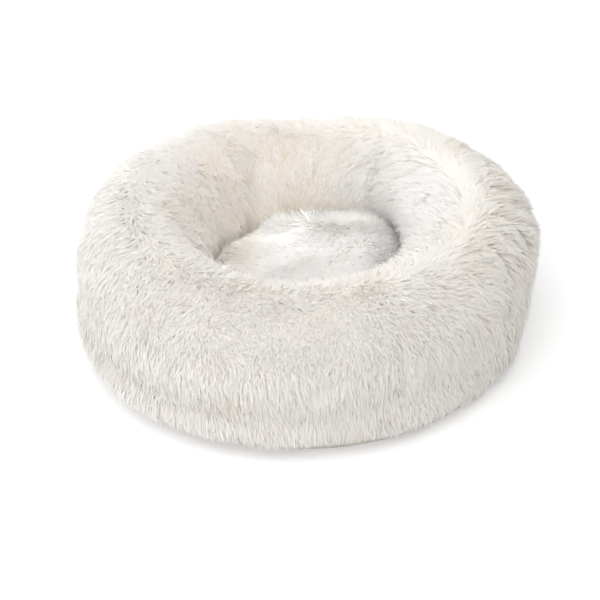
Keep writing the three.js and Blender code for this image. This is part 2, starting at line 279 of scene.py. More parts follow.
class Finish:
    """A material being mixed: one principled shader and the nodes that feed it."""

    def __init__(self, name, **fixed):
        self.material = bpy.data.materials.new(name)
        self.material.use_nodes = True
        self.tree = self.material.node_tree
        self.shader = self.tree.nodes["Principled BSDF"]
        self.feed(**fixed)

    def feed(self, **sockets):
        for name, value in sockets.items():
            plug(self.tree, self.shader.inputs[name.replace("_", " ")], value)

    def node(self, kind, *args, **kwargs):
        return add_node(self.tree, kind, *args, **kwargs)

    def place(self):
        return self.node("ShaderNodeTexCoord", out=3)

    def noise(self, scale, detail):
        return self.node("ShaderNodeTexNoise", Vector=self.place(), Scale=scale, Detail=detail, Roughness=0.5)

    def ramp(self, value, *stops):
        """A colour by a value: stops of a place and a screen colour."""
        return self.node("ShaderNodeValToRGB", stops=stops, Fac=value)

    def mix(self, share, first, second):
        """Two colours by a share of the second."""
        node = self.tree.nodes.new("ShaderNodeMix")
        node.data_type = "RGBA"
        colours = [s for s in node.inputs if s.type == "RGBA"]
        for socket, value in zip((node.inputs[0], *colours), (share, first, second)):
            plug(self.tree, socket, value)
        return Wire(self.tree, [s for s in node.outputs if s.type == "RGBA"][0])

    def around(self):
        """Two lengths on the upright border: round the bed, and up."""
        place = self.place()
        x, y, z = (place.axis(letter) for letter in "XYZ")
        return y.math("ARCTAN2", y, x) * BORDER_RADIUS, z

    def flat(self):
        place = self.place()
        return place.axis("X"), place.axis("Y")

    def bump(self, height, distance):
        self.feed(Normal=self.node("ShaderNodeBump", Height=height, Distance=distance, Strength=1.0))


def weave(across, along, pitch):
    """Height of a plain weave, threads a pitch apart, from 0 in the gaps to 1."""
    one, other = across * (pi / pitch), along * (pi / pitch)
    over = (one.sine() * other.sine() + 1) / 2
    return over * 0.6 + (one * 2).sine().size() * 0.2 + (other * 2).sine().size() * 0.2


def cloth_finish(name, dark, light, lengths, pitch):
    """Woven cloth: its threads, a little unevenness and a painted shade in the gaps."""
    finish = Finish(name, Roughness=0.9, Sheen_Weight=0.2, Specular_IOR_Level=0.25)
    height = weave(*lengths(finish), pitch)
    worn = finish.noise(38.0, 4.0)
    # Darker where the weave is low: a painted shade in the gaps between threads
    finish.feed(Base_Color=finish.ramp(height * 0.55 + worn * 0.45, (0.25, dark), (0.75, light)))
    finish.bump(height, 0.00025)
    return finish.material


def clouded(name, scale, detail, dark, light, relief, **fixed):
    """Fibre or felt: two shades in a cloud that is its relief too."""
    finish = Finish(name, **fixed)
    cloud = finish.noise(scale, detail)
    finish.feed(Base_Color=finish.ramp(cloud, (0.3, dark), (0.7, light)))
    finish.bump(cloud, relief)
    return finish.material


def ribbed(name, pitch, dark, light, relief, **fixed):
    """Twisted thread or twill on the border: slanting ribs, a pitch apart, with a painted shade between them.
    """
    finish = Finish(name, **fixed)
    across, along = finish.around()
    rib = (across + along).ripple(pitch)
    # Darker between the ribs: a painted shade in the grooves
    finish.feed(Base_Color=finish.ramp(rib, (0.1, dark), (0.8, light)))
    finish.bump(rib, relief)
    return finish.material


def pile_finish(settings):
    """Fur: its colour runs from root to tip along the map, the roots darker and warmer as a painted warm
    shade deep in the pile, and by each strand's tone across, whose low end, darker and warmer, is a painted
    shade where a part's tone is set low. Light passes through the strands as well as off them."""
    finish = Finish(
        "pile_fibre",
        Roughness=settings.roughness,
        Sheen_Weight=settings.sheen,
        Sheen_Roughness=0.6,
        Specular_IOR_Level=0.2,
    )
    chart = finish.node("ShaderNodeUVMap", {"uv_map": "OFBake"})
    tip, tone = chart.axis("X"), chart.axis("Y")
    # Low tones and the roots are darker and warmer: a painted warm shade
    root = finish.ramp(tone, (0.0, (212, 187, 153)), (0.5, (248, 243, 236)), (1.0, (252, 250, 247)))
    end = finish.ramp(tone, (0.0, (236, 222, 201)), (0.5, (251, 249, 246)), (1.0, (253, 252, 251)))
    finish.feed(Base_Color=finish.mix(tip.between(0.05, 0.75), root, end))
    through = finish.node("ShaderNodeBsdfTranslucent", Color=linear((251, 249, 246)))
    surface = Wire(finish.tree, finish.shader.outputs[0])
    both = finish.node("ShaderNodeMixShader", Fac=settings.through, Shader=surface, Shader_001=through)
    finish.tree.links.new(both.socket, finish.tree.nodes["Material Output"].inputs["Surface"])
    return finish.material


# The pile's tufts

TRIES_PER_PLACE = 4.5
OCTAVES, OCTAVE_STEP, OCTAVE_FADE, DRIFT_RANGE = 6, 1.45, 1.3, 2.2


def tree_of(points):
    tree = KDTree(len(points))
    for i, point in enumerate(points):
        tree.insert(point, i)
    tree.balance()
    return tree


def scatter(surface, spacing, seed):
    """Points spread evenly over a mesh, no two closer than the spacing, with their normals."""
    rng = np.random.default_rng(seed)
    mesh = surface.data
    mesh.calc_loop_triangles()
    count = len(mesh.loop_triangles)
    corners = np.empty(count * 3, np.int32)
    mesh.loop_triangles.foreach_get("vertices", corners)
    corners = corners.reshape(-1, 3)
    points, normals = points_of(surface), normals_of(surface)
    a, b, c = (points[corners[:, k]] for k in range(3))
    area = np.linalg.norm(np.cross(b - a, c - a), axis=1) / 2
    tries = int(area.sum() / spacing**2 * TRIES_PER_PLACE)
    chosen = rng.choice(count, tries, p=area / area.sum())
    u, v = rng.random((2, tries))
    flip = u + v > 1
    u[flip], v[flip] = 1 - u[flip], 1 - v[flip]
    w = np.stack([1 - u - v, u, v])[..., None]
    where = sum(w[k] * points[corners[chosen, k]] for k in range(3))
    facing = unit(sum(w[k] * normals[corners[chosen, k]] for k in range(3)))
    tree = tree_of(where)
    kept = np.ones(tries, bool)
    for i, point in enumerate(where):
        if kept[i]:
            for _, j, _ in tree.find_range(point, spacing):
                if j > i:
                    kept[j] = False
    return where[kept], facing[kept]


def drift(points, scale, seed):
    """A slow random vector field over the bed."""
    rng = np.random.default_rng(seed)
    total = np.zeros_like(points)
    for octave in range(OCTAVES):
        wave = rng.normal(size=(3, 3)) * scale * OCTAVE_STEP**octave
        phase = rng.random(3) * tau
        total += np.sin(points @ wave + phase) / OCTAVE_FADE**octave
    return total / DRIFT_RANGE


# How the pile lies in each part of the bed: length, lift off the cloth, stray, slow swirl,
# turn from tuft to tuft, how far big clumps gather, how far a tuft's tips draw together,
# tone, and the difference of tone from strand to strand. Part of the tone is painted light
# and shade: lower on the roll's right than its left, low and warm in the nest and lowest in
# its depth, higher on the nest's side walls, and lower and warmer on the seat's left
LIE_NAMES = ("length", "lift", "stray", "swirl", "toss", "gather", "clump", "tone", "mottle")
LIES = {
    "wall": (0.020, 0.17, 0.06, 0.12, 0.10, 0.06, 0.40, 0.52, 0.09),
    "front": (0.013, 0.32, 0.20, 0.40, 0.60, 0.15, 0.40, 0.55, 0.10),
    # The right side's lower tone is a painted shade, the left's higher tone a painted light
    "right": (0.021, 0.34, 0.10, 0.30, 0.20, 0.80, 0.55, 0.46, 0.12),
    "left": (0.020, 0.16, 0.04, 0.25, 0.06, 0.06, 0.20, 0.60, 0.08),
    "back": (0.018, 0.28, 0.06, 0.30, 0.12, 0.25, 0.30, 0.50, 0.10),
    # The nest's lower, warmer tone is a painted warm shade, lowest in its depth; its side walls' higher tone
    # is a painted light
    "nest": (0.018, 0.30, 0.22, 0.20, 0.32, 0.50, 0.40, 0.42, 0.38),
    "nest_left": (0.018, 0.30, 0.22, 0.20, 0.32, 0.50, 0.40, 0.56, 0.38),
    "nest_right": (0.023, 0.50, 0.22, 0.30, 0.40, 0.30, 0.30, 0.88, 0.12),
    "depth": (0.024, 0.42, 0.20, 0.22, 0.30, 0.30, 0.40, 0.14, 0.22),
    "seat": (0.017, 0.34, 0.10, 0.35, 0.22, 0.20, 0.30, 0.97, 0.08),
    # The seat's left takes a lower, warmer tone: a painted shade
    "seat_left": (0.017, 0.34, 0.14, 0.35, 0.30, 0.30, 0.30, 0.48, 0.14),
    "brim": (0.024, 0.74, 0.24, 0.40, 0.35, 0.30, 0.40, 0.92, 0.10),
}
# The angle round the bed, in degrees, at which a part of the roll's pile is most itself
LIE_TURNS = {"front": -95, "right": -5, "left": 178, "back": 85}
NEST_TURNS = {"nest_right": 12, "nest_left": 182}
# Heights and radii between which one lie fades into another
NEST_EDGE, NEST_FADE = CREST_RADIUS + 0.004, 0.03
DEPTH_TOP, DEPTH_FADE = 0.115, 0.04
WALL_TOP, WALL_FADE = SEAM_HEIGHT + 0.006, 0.022
SEAT_LEFT_EDGE, SEAT_LEFT_FADE = -0.01, 0.05
BRIM_RADIUS, BRIM_FADE = 0.07, 0.04
# The pile over the crest turns round the bed between the outside and the nest
TURN_EDGE, TURN_FADE = CREST_RADIUS + 0.014, 0.04
TOP_START, TOP_FADE = 0.1, 0.05
# The seat's pile is brushed away from a point behind it, and down its side
SEAT_CROWN, SEAT_DOWN = np.array([0.09, 0.21, 0]), -0.06


def blended(shares):
    """The lie of the pile where each named part has its share."""
    table = sum(share[:, None] * np.array(LIES[name]) for name, share in shares.items())
    return dict(zip(LIE_NAMES, table.T))


def near(azimuth, turns, power):
    """How near each place is to the angles at which some parts are most themselves."""
    return {name: np.clip(np.cos(azimuth - radians(turn)), 0, 1) ** power for name, turn in turns.items()}


def ring_lie(points):
    """The lie of the ring's pile at each point, blended from part to part."""
    radius, azimuth = polar(points)
    height = points[:, 2]
    nest = smoothstep((NEST_EDGE - radius) / NEST_FADE) * smoothstep((CREST_HEIGHT - height) / NEST_FADE)
    # The deep nest takes the lie whose low, warm tone is a painted shade
    depth = nest * smoothstep((DEPTH_TOP - height) / DEPTH_FADE)
    wall = smoothstep((WALL_TOP - height) / WALL_FADE) * (1 - nest)
    roll = near(azimuth, LIE_TURNS, 3)
    total = sum(roll.values())
    shares = {name: (1 - nest - wall) * value / total for name, value in roll.items()}
    shares["right"] += 0.5 * wall * roll["right"]
    # The nest's side walls take lies whose higher tone is a painted light
    sides = near(azimuth, NEST_TURNS, 2)
    back = 1 - sum(sides.values())
    shares.update(nest=(nest - depth) * back, depth=depth * back, wall=wall * (1 - 0.5 * roll["right"]))
    shares.update({name: nest * share for name, share in sides.items()})
    return blended(shares)


def seat_lie(points):
    """The seat's pile: darker and warmer at the left, a painted shade, longer towards the brim."""
    left = smoothstep((SEAT_LEFT_EDGE - points[:, 0]) / SEAT_LEFT_FADE)
    brim = smoothstep((polar(points)[0] - BRIM_RADIUS) / BRIM_FADE) * (1 - left)
    return blended({"seat": (1 - brim) * (1 - left), "seat_left": left, "brim": brim})


def flat_on(ways, facing):
    """Directions laid flat on the cloth, of unit length."""
    return unit(ways - facing * np.sum(ways * facing, axis=1, keepdims=True))


def ring_comb(points, facing):
    """The way that the ring's pile is brushed: outwards and down, and over the crest round
    the bed and then down into the nest, with no parting."""
    radius, azimuth = polar(points)
    east, north, none = np.cos(azimuth), np.sin(azimuth), np.zeros(len(points))
    outward, around = np.stack([east, north, none], axis=1), np.stack([-north, east, none], axis=1)
    down = np.array([0, 0, -1.0])
    top = smoothstep((points[:, 2] - TOP_START) / TOP_FADE)[:, None]
    turn = pi * smoothstep((TURN_EDGE - radius) / TURN_FADE)[:, None]
    outer, inner = flat_on(outward * top + down, facing), flat_on(down - outward * top, facing)
    return outer * np.maximum(np.cos(turn), 0) + inner * np.maximum(-np.cos(turn), 0) + around * np.sin(turn)


def seat_comb(points, facing):
    way = points - SEAT_CROWN
    way[:, 2] = SEAT_DOWN * smoothstep((0.85 - facing[:, 2]) / 0.3)
    return way


def comb_of(brushed, points, normals, lie, gathering, seed):
    """The way each tuft lies: as brushed, turned by slow swirls and from tuft to tuft, and
    gathered in clumps."""
    rng = np.random.default_rng(seed + 9)
    way = flat_on(brushed, normals)
    turn = lie["swirl"] * 2.2 * drift(points, 22.0, seed)[:, 0]
    turn += lie["toss"] * rng.normal(0, 0.9, len(points))
    way = way * np.cos(turn)[:, None] + np.cross(normals, way) * np.sin(turn)[:, None]
    return flat_on(way + gathering * lie["gather"][:, None], normals)


# The pile's strands: five corners, a quad and a tip triangle each
STRAND_CORNERS, STRAND_FACES = np.array([0, 1, 3, 2, 2, 3, 4]), np.array([4, 3])
ALONG, ACROSS = np.array([0, 0, 0.6, 0.6, 1.0]), np.array([-1, 1, -1, 1, 0])
ROOT_SHARE, MIDDLE_SHARE = 0.7, 1.0
# Their random spread: length, width, lift within its limits, and the few that stray further
LENGTHS, WIDTHS, LIFT_SPREAD, LIFT_RANGE = (0.7, 1.12), (0.6, 1.3), 0.04, (0.06, 0.98)
STRAY_SHARE, STRAY_FURTHER = 0.03, 2.2
# A strand leaves the cloth half upright and bends at this share of its length
START_SLOPE, BEND_SHARE = 0.7, 0.42
# The lowest that pile may reach, over the floor and over the zip's top edge, how far above
# that a strand's tip may come to lie, and how far past the zip's ends its pile is parted
GROUND, ZIP_GROUND, GROUND_TOSS, ZIP_MARGIN = 0.0012, HEM_HEIGHT + 0.0014, 0.003, 0.137
# Half the height of a strand's band on its map, and the map's margin
BAND, CHART_MARGIN = 0.006, 0.02


def over_zip(points):
    """Where the pile is parted so that the zip runs free."""
    radius, azimuth = polar(points)
    from_start = azimuth - ZIP_START
    return (radius > CREST_RADIUS) & (from_start > -ZIP_MARGIN) & (from_start < ZIP_ARC + ZIP_MARGIN)


def lay_locks(name, tufts, facing, comb, pile, rng, lie, tone):
    """Fine, tapered, bent strands of pile, several to a tuft, whose tips draw together."""
    per = pile.locks_per_tuft
    count = len(tufts) * per
    own = np.repeat(np.arange(len(tufts)), per)
    out, way = facing[own], comb[own]
    side = unit(np.cross(out, way))
    angle, reach = rng.random(count) * tau, np.sqrt(rng.random(count)) * pile.spread
    offset = side * (np.cos(angle) * reach)[:, None]
    offset += np.cross(side, out) * (np.sin(angle) * reach)[:, None]
    size = (lie["length"][own] * rng.uniform(*LENGTHS, count))[:, None]
    rise = np.clip(lie["lift"][own] + rng.normal(0, LIFT_SPREAD, count), *LIFT_RANGE)[:, None]
    stray = rng.normal(size=(count, 3)) * lie["stray"][own][:, None]
    stray[rng.random(count) < STRAY_SHARE] *= STRAY_FURTHER
    aim = unit(out * rise + way * np.sqrt(1 - rise**2) + stray)
    start = unit(out * START_SLOPE + way * START_SLOPE + stray)
    root = tufts[own] + offset - out * pile.sink
    tip = tufts[own] + offset * (1 - lie["clump"][own, None]) + aim * size
    bend = root + start * size * BEND_SHARE
    ground = np.where(over_zip(root), ZIP_GROUND, GROUND)
    tip[:, 2] = np.where(tip[:, 2] < ground, ground + rng.uniform(0, GROUND_TOSS, count), tip[:, 2])
    bend[:, 2] = np.maximum(bend[:, 2], ground)
    width = pile.lock_width * rng.uniform(*WIDTHS, count)[:, None]
    roll = rng.normal(0, pile.twist, count)[:, None]
    places, soft = np.empty((count, 5, 3)), np.empty((count, 5, 3))
    for j, wide in enumerate((ROOT_SHARE, MIDDLE_SHARE)):
        t = ALONG[2 * j]
        middle = (1 - t) ** 2 * root + 2 * t * (1 - t) * bend + t * t * tip
        heading = unit((1 - t) * (bend - root) + t * (tip - bend))
        across = unit(np.cross(heading, out) + side * 1e-3)
        up = np.cross(across, heading)
        across = across * np.cos(roll) + up * np.sin(roll)
        places[:, 2 * j] = middle - across * width * wide / 2
        places[:, 2 * j + 1] = middle + across * width * wide / 2
        lean = unit(out * pile.softness + up * np.cos(roll) - across * np.sin(roll))
        soft[:, 2 * j] = soft[:, 2 * j + 1] = lean
    places[:, 4], soft[:, 4] = tip, lean
    places[:, :, 2] = np.maximum(places[:, :, 2], ground[:, None] * 0.9)
    shade = np.clip(tone[own] + rng.normal(0, 1, count) * lie["mottle"][own], 0.02, 0.98)
    return strand_mesh(name, places, soft, shade)


def strand_mesh(name, places, soft, shade):
    """A piece of pile from its strands' corners, their soft normals and each strand's tone."""
    count = len(places)
    loops = (STRAND_CORNERS[None] + 5 * np.arange(count)[:, None]).ravel()
    totals = np.tile(STRAND_FACES, count)
    mesh = bpy.data.meshes.new(name)
    mesh.vertices.add(count * 5)
    mesh.vertices.foreach_set("co", places.ravel())
    mesh.loops.add(len(loops))
    mesh.loops.foreach_set("vertex_index", loops)
    mesh.polygons.add(len(totals))
    mesh.polygons.foreach_set("loop_start", np.concatenate([[0], np.cumsum(totals)[:-1]]))
    mesh.polygons.foreach_set("use_smooth", np.ones(len(totals), bool))
    across_map = np.repeat(shade, len(STRAND_CORNERS)) + np.tile(BAND * ACROSS[STRAND_CORNERS], count)
    along_map = np.tile(CHART_MARGIN + (1 - 2 * CHART_MARGIN) * ALONG[STRAND_CORNERS], count)
    chart = mesh.uv_layers.new(name="OFBake")
    chart.data.foreach_set("uv", np.stack([along_map, across_map], axis=1).ravel())
    mesh.update(calc_edges=True)
    mesh.normals_split_custom_set_from_vertices(soft.reshape(-1, 3))
    return object_of(mesh, name)


# How far tufts differ from clump to clump, along slow waves and one by one
CLUMP_TONE, CLUMP_LIFT = 0.03, 0.07
LENGTH_WAVE, LENGTH_TOSS = 0.1, (0.9, 1.1)
TONE_WAVE, TONE_TOSS = 0.05, 0.04


def fur_on(context, surface, material, pieces, seed, lie_at, brush):
    """Lays pile over a surface, one piece of it for each panel in pieces."""
    pile = settings_of(context, "pile")
    tufts, facing = scatter(surface, pile.spacing, seed)
    clumps, _ = scatter(surface, pile.clump_size, seed + 20)
    tree = tree_of(clumps)
    nearest = np.array([tree.find(point)[1] for point in tufts])
    rng = np.random.default_rng(seed + 1)
    clump_tone, clump_lift = (rng.normal(0, share, len(clumps)) for share in (CLUMP_TONE, CLUMP_LIFT))
    gathering = (clumps[nearest] - tufts) / pile.clump_size
    lie = lie_at(tufts)
    combed = comb_of(brush(tufts, facing), tufts, facing, lie, gathering, seed)
    lie["lift"] = lie["lift"] + clump_lift[nearest] * lie["gather"] * 2
    longer = 1 + LENGTH_WAVE * drift(tufts, 25.0, seed + 4)[:, 1]
    lie["length"] = lie["length"] * longer * rng.uniform(*LENGTH_TOSS, len(tufts))
    shade = lie["tone"] + TONE_WAVE * drift(tufts, 60.0, seed + 5)[:, 2]
    shade = shade + rng.normal(0, TONE_TOSS, len(tufts)) + clump_tone[nearest]
    made = []
    for name, chosen in pieces(tufts):
        if chosen.any():
            here = {key: value[chosen] for key, value in lie.items()}
            tuft = (tufts[chosen], facing[chosen], combed[chosen])
            made.append(lay_locks(name, *tuft, pile, rng, here, shade[chosen]))
            made[-1].data.materials.append(material)
    return made


# The covers

# How the cloth is simulated: for so many frames, with this mass
PUFF_FRAMES, CLOTH_MASS, QUICK_SHARE = 20, 0.3, 0.8
# How firmly seams hold, and how wide a strip beside one is held
SEAM_HOLD, LEVEL_HOLD, HELD_WIDTH, FOOT_FADE = 0.8, 0.9, 0.012, 0.02
# Slow waves in the cloth, the seat's ease over its filling and the lift of its brim
RING_WAVE, SEAT_WAVE, SEAT_EASE, BRIM_LIFT = 0.003, 0.004, 0.0045, 0.003
# How far pile of neighbouring panels mixes at a seam, and where the seat hides the nest's
SEAM_MIX, NEST_HIDDEN = 0.004, 0.035
# Folds of the plush that the stuffing leaves: a line, its width and its depth
FOLDS = [
    (
        [
            (-0.0749, 0.1725, 0.165),
            (-0.0714, 0.1431, 0.1303),
            (-0.0742, 0.1233, 0.0939),
            (-0.0801, 0.1102, 0.0564),
        ],
        0.016,
        0.006,
    ),
    ([(0.1093, 0.1532, 0.1600), (0.1023, 0.1277, 0.1237), (0.0922, 0.1160, 0.0828)], 0.017, 0.006),
    ([(0.0075, -0.2994, 0.1017), (0.0255, -0.2945, 0.1114), (0.0436, -0.2881, 0.1172)], 0.006, 0.004),
    ([(0.1065, -0.2573, 0.1327), (0.1102, -0.2637, 0.1145), (0.1132, -0.2657, 0.0941)], 0.007, 0.005),
    (
        [
            (-0.1782, -0.2375, 0.1134),
            (-0.1308, -0.2641, 0.1217),
            (-0.0864, -0.2779, 0.1273),
            (0.0127, -0.2843, 0.1328),
            (0.0628, -0.2762, 0.1309),
            (0.1066, -0.2594, 0.1275),
            (0.1374, -0.2426, 0.1244),
        ],
        0.012,
        0.0015,
    ),
]
# Where the ring leans into the nest, spreads at its foot and swells, each an angle round the
# bed and how far it reaches, and how strongly
LEAN_IN, LEAN_SHARE = (radians(8), radians(44)), 3.0
FOOT, FOOT_SHARE, FOOT_REST = (radians(-115), radians(48)), 1.9, 0.2
SWELL, SWELL_OUT = (radians(12), radians(25)), 0.008
SHOULDERS = ((0.75, radians(47), radians(26)), (0.7, radians(140), radians(26)))
SAG, SAG_WAVE, SAG_WAVES = (pi / 2, radians(28)), 0.3, 27
# The seat's puffs and dents: across, back, size and height
SEAT_PUFFS = (
    (0.050, 0.045, 0.045, 0.010),
    (-0.060, 0.020, 0.040, 0.002),
    (-0.012, 0.050, 0.022, -0.008),
    (-0.060, 0.085, 0.050, -0.008),
    (0.095, 0.060, 0.035, 0.010),
    (0.080, -0.010, 0.050, 0.012),
)
SEAT_SWELL, SEAT_SWELL_OUT = (radians(18), radians(45)), 0.010


def puff_up(piece, held, pressure, cap):
    """Blows the cloth out by its filling, held along its seams, no point further than the cap."""
    rest = points_of(piece)
    group = piece.vertex_groups.new(name="sewn")
    for i, weight in enumerate(held):
        if weight > 0.02:
            group.add([i], float(weight), "REPLACE")
    only(piece)
    cloth = piece.modifiers.new("Stuffing", "CLOTH")
    cloth.settings.quality = 4
    cloth.settings.mass = CLOTH_MASS
    cloth.settings.use_pressure = True
    cloth.settings.uniform_pressure_force = pressure
    cloth.settings.effector_weights.gravity = 0
    cloth.settings.vertex_group_mass = group.name
    cloth.point_cache.frame_end = PUFF_FRAMES
    for step in range(1, PUFF_FRAMES + 1):
        bpy.context.scene.frame_set(step)
    blown = piece.evaluated_get(bpy.context.evaluated_depsgraph_get()).to_mesh()
    move = rows_of(blown.vertices, "co") - rest
    piece.modifiers.remove(cloth)
    piece.vertex_groups.clear()
    bpy.context.scene.frame_set(1)
    far = np.linalg.norm(move, axis=1, keepdims=True)
    set_points(piece, rest + move * np.minimum(1, cap / np.maximum(far, 1e-9)))


def crease(points, line, width, depth):
    """How far a fold along a line of points draws the cloth in, at each place."""
    line = np.asarray(line, float)
    nearest = np.full(len(points), np.inf)
    for start, end in zip(line[:-1], line[1:]):
        run = end - start
        share = np.clip(((points - start) @ run) / (run @ run), 0, 1)
        nearest = np.minimum(nearest, np.linalg.norm(points - start - share[:, None] * run, axis=1))
    return depth * ridge(nearest, 0, width)


def slump(points, settings):
    """How the stuffed ring has settled: its back sags in waves between two shoulders, its
    nest leans open, its right side leans in and swells and its foot spreads to the front."""
    radius, azimuth = polar(points)
    height = points[:, 2]
    outside = smoothstep((radius - CREST_RADIUS) / 0.02)
    hollow = np.sin(pi * np.clip((height - 0.075) / 0.105, 0, 1))
    inner = smoothstep((CREST_RADIUS - radius) / 0.03) * hollow
    out = settings.open * inner * (1 - LEAN_SHARE * bell(azimuth, *LEAN_IN))
    foot = settings.spread * outside * ridge(height, 0.036, 0.018)
    out += foot * (FOOT_REST + FOOT_SHARE * bell(azimuth, *FOOT))
    out += SWELL_OUT * outside * bell(azimuth, *SWELL) * smoothstep((height - 0.1) / 0.05)
    up = settings.shoulder * sum(share * bell(azimuth, *where) for share, *where in SHOULDERS)
    up -= settings.sag * bell(azimuth, *SAG) * (1 + SAG_WAVE * np.sin(azimuth * SAG_WAVES))
    moved = points.copy()
    moved[:, :2] *= (1 + out / radius)[:, None]
    moved[:, 2] += up * smoothstep((height - 0.06) / 0.1)
    return moved


def ring_skin(settings):
    """The backing cloth round the stuffed ring, in one piece before it is cut to panels."""
    skin = copy_of("ring_filling", "ring_skin", settings.voxel, 14)
    points = points_of(skin)
    radius, azimuth = polar(points)
    seams = np.zeros(len(points))
    for turn in range(4):
        off = np.abs((azimuth - SEAM_AZIMUTH - turn * QUARTER + pi) % tau - pi) * radius
        seams = np.maximum(seams, ridge(off, 0, HELD_WIDTH))
    outside = smoothstep((radius - CREST_RADIUS) / 0.02)
    level = ridge(points[:, 2], SEAM_HEIGHT, HELD_WIDTH) * outside
    foot = 1 - smoothstep((points[:, 2] - HEM_HEIGHT) / FOOT_FADE)
    held = np.clip(np.maximum.reduce([seams * SEAM_HOLD, level * LEVEL_HOLD, foot]), 0, 1)
    points = points + normals_of(skin) * (settings.growth + RING_WAVE * drift(points, 14.0, 5)[:, :1])
    set_points(skin, slump(points, settings))
    puff_up(skin, held, settings.pressure, settings.puff)
    points, inward = points_of(skin), -normals_of(skin)
    drawn = np.maximum.reduce([crease(points, *fold) for fold in FOLDS])
    set_points(skin, points + inward * drawn[:, None])
    smooth_over(skin)
    return skin


def seat_skin(settings):
    """The backing cloth round the stuffed seat, puffed in lobes."""
    skin = copy_of("seat_filling", "seat_top", 0.005)
    points = points_of(skin)
    above = smoothstep((points[:, 2] - SEAT_SEAM + 0.004) / 0.02)
    set_points(skin, points + normals_of(skin) * (SEAT_EASE * above)[:, None])
    puff_up(skin, 1 - above, settings.pressure, settings.puff)
    points = points_of(skin)
    radius, azimuth = polar(points)
    points[:, 2] += above * BRIM_LIFT * smoothstep((radius - 0.05) / 0.05)
    rim = smoothstep((radius - 0.06) / 0.05) / np.maximum(radius, 0.01)
    points[:, :2] *= (1 + SEAT_SWELL_OUT * above * bell(azimuth, *SEAT_SWELL) * rim)[:, None]
    points += normals_of(skin) * (above * SEAT_WAVE * drift(points, 30.0, 8)[:, 0])[:, None]
    for x, y, size, high in SEAT_PUFFS:
        far = (points[:, 0] - x) ** 2 + (points[:, 1] - y) ** 2
        points[:, 2] += above * high * np.exp(-far / size**2)
    set_points(skin, points)
    smooth_over(skin)
    return skin


def cut_out(source, name, keep, thickness):
    """A cloth panel: the faces of a skin that are kept, given their thickness inwards."""
    only(source)
    bpy.ops.object.duplicate()
    panel = bpy.context.object
    panel.name = panel.data.name = name
    with editing(panel, "DESELECT"):
        bpy.ops.mesh.select_mode(type="FACE")
    panel.data.polygons.foreach_set("select", ~keep)
    bpy.ops.object.mode_set(mode="EDIT")
    bpy.ops.mesh.delete(type="FACE")
    bpy.ops.object.mode_set(mode="OBJECT")
    apply_modifier(panel, "SOLIDIFY", thickness=thickness, offset=-1)
    return panel


def bisect(piece, places):
    """Cuts edges into a skin along planes, each a point and a normal. Gives its faces' middles."""
    for place, facing in places:
        with editing(piece):
            bpy.ops.mesh.bisect(plane_co=place, plane_no=facing)
    return rows_of(piece.data.polygons, "center")


def dress(piece, material, body, slot, *nodes, fill=None):
    """Gives a piece its cloth and its body, and hides the CAD nodes that it stands for."""
    piece.data.materials.clear()
    piece.data.materials.append(material)
    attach(piece, body)
    if nodes:
        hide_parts(*nodes)


# Stitches, teeth and flat cloths


def rounded(node, name, width, segments=2):
    """A CAD node's shape with its edges rounded, as a piece of its own."""
    piece = copy_of(node, name)
    with editing(piece):
        bpy.ops.mesh.dissolve_limited(angle_limit=radians(1.5))
    round_edges(piece, width, segments)
    apply_modifier(piece, "TRIANGULATE")
    only(piece)
    bpy.ops.object.shade_smooth_by_angle(angle=SMOOTH)
    return piece


def repeated(name, shape, places):
    """Copies of one small object at many places, as one piece. The object is used up."""
    corners, faces = [], []
    for place in places:
        start = len(corners)
        corners.extend(place @ vertex.co for vertex in shape.data.vertices)
        faces.extend([start + i for i in face.vertices] for face in shape.data.polygons)
    bpy.data.objects.remove(shape)
    mesh = bpy.data.meshes.new(name)
    mesh.from_pydata(corners, [], faces)
    mesh.polygons.foreach_set("use_smooth", np.ones(len(faces), bool))
    mesh.update()
    return object_of(mesh, name)


def on_band(turn, radius, height):
    """Where a small shape sits on an upright band: x outwards, y along, z up."""
    return Matrix.Rotation(turn, 4, "Z") @ Matrix.Translation((radius, 0, height))


def lay_along(shape, size, tip=0.0):
    """Turns a small shape from upright to lie along y, sizes it and tips it about x."""
    with editing(shape):
        bpy.ops.transform.rotate(value=pi / 2, orient_axis="X", center_override=(0, 0, 0))
        bpy.ops.transform.resize(value=size)
        if tip:
            bpy.ops.transform.rotate(value=tip, orient_axis="X", center_override=(0, 0, 0))
    return shape


def stitch_rows(name, rows, pitch, thickness=0.0005):
    """Rows of stitches on upright bands: each row a radius, a height, a start and an arc."""
    bpy.ops.mesh.primitive_uv_sphere_add(segments=6, ring_count=5, radius=0.5)
    stitch = lay_along(bpy.context.object, (thickness, pitch * 0.78, thickness))
    places = []
    for radius, height, start, arc in rows:
        count = int(arc * radius / pitch)
        places += [on_band(start + arc * (i + 0.5) / count, radius, height) for i in range(count)]
    return repeated(name, stitch, places)


def disc(name, radius, low, high, edge, rings, steps=96):
    """A round of cloth or felt: a cylinder with a soft edge and rings to shape it by."""
    middle = (0, 0, (low + high) / 2)
    bpy.ops.mesh.primitive_cylinder_add(vertices=steps, radius=radius, depth=high - low, location=middle)
    piece = bpy.context.object
    piece.name = piece.data.name = name
    bpy.ops.object.transform_apply(location=True)
    round_edges(piece, edge, 3)
    for way in (1, -1):
        with editing(piece, "DESELECT"):
            bpy.ops.mesh.select_mode(type="FACE")
        for face in piece.data.polygons:
            face.select = face.normal.z * way > 0.99 and len(face.vertices) == steps
        bpy.ops.object.mode_set(mode="EDIT")
        for step in rings:
            bpy.ops.mesh.inset(thickness=step)
        bpy.ops.mesh.poke()
        bpy.ops.object.mode_set(mode="OBJECT")
    return piece


# Settings


def number(name, description, default, **kind):
    return bpy.props.FloatProperty(name=name, description=description, default=default, **kind)


def length(name, description, default):
    return number(name, description, default, unit="LENGTH")


